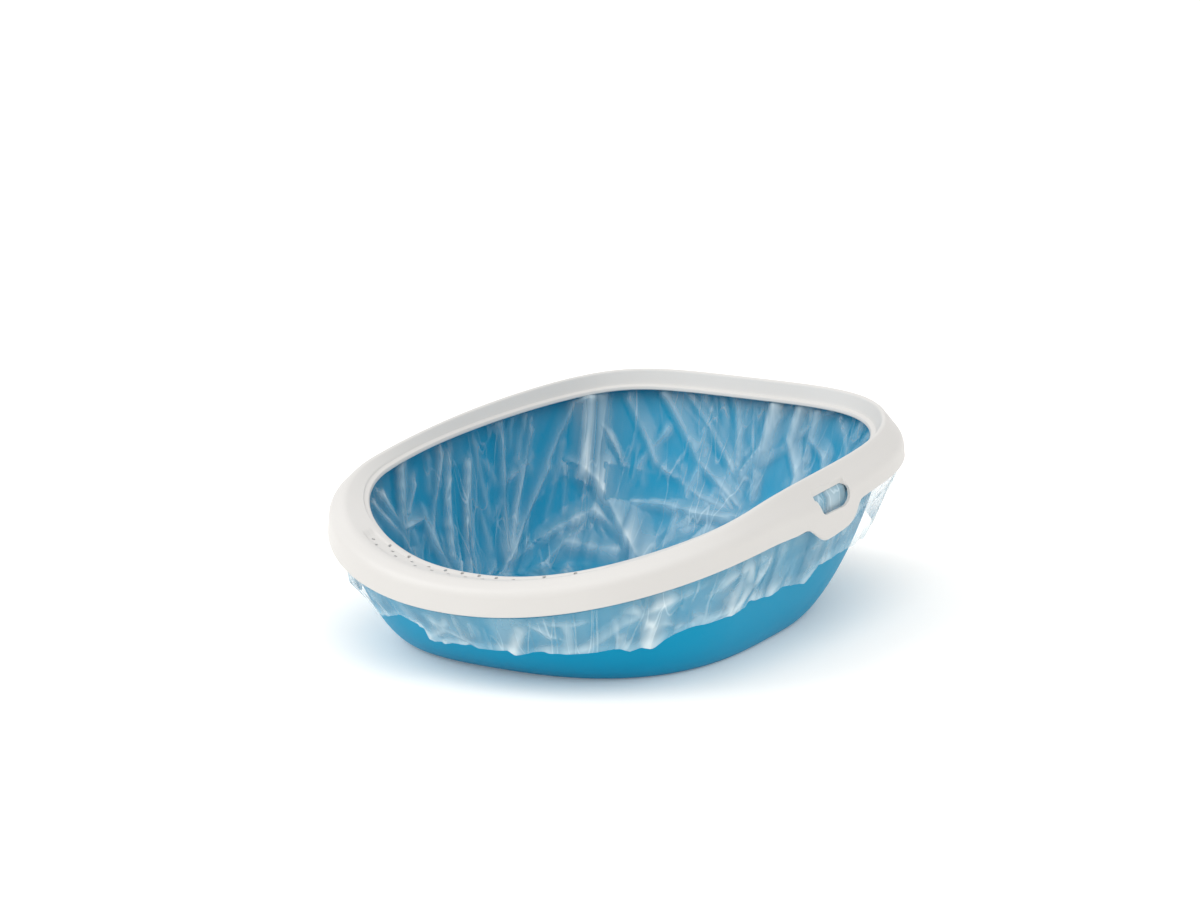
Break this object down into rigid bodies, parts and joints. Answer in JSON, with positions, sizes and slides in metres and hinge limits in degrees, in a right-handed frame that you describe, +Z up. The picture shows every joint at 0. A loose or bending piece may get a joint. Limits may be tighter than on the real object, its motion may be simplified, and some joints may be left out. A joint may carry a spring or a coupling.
{
  "type": "cat litter tray",
  "caption": "Open cat litter tray with a low entry, a higher back, a clip-on rim with side latches and a film liner bag.",
  "frame": {"origin": "middle of the footprint, on the surface that the tray stands on", "axes": "+Z up, -Y towards the low entry at the front, +Y towards the high back, +X to the right of someone who faces +Y"},
  "size_m": [0.3824, 0.5, 0.1557],
  "materials": {
    "tray_plastic": "satin",
    "rim_plastic": "satin",
    "liner_film": "satin"
  },
  "bodies": {
    "tray": {"tray_pan": "tray_plastic", "liner_bag": "liner_film"},
    "rim": {"rim_frame": "rim_plastic"},
    "latch_right": {"latch_tab_right": "rim_plastic"},
    "latch_left": {"latch_tab_left": "rim_plastic"}
  },
  "joints": [
    {"name": "rim_lift", "type": "slide", "parent": "tray", "child": "rim", "axis": [0, 0, 1], "range_m": [0, 0.12]},
    {"name": "latch_right_flex", "type": "hinge", "parent": "rim", "child": "latch_right", "pos_m": [0.18107, 0.018, 0.12922], "axis": [0, -1, 0], "range_deg": [0, 12], "stiffness_Nm_per_rad": 0.5},
    {"name": "latch_left_flex", "type": "hinge", "parent": "rim", "child": "latch_left", "pos_m": [-0.18107, 0.018, 0.12922], "axis": [0, 1, 0], "range_deg": [0, 12], "stiffness_Nm_per_rad": 0.5}
  ]
}
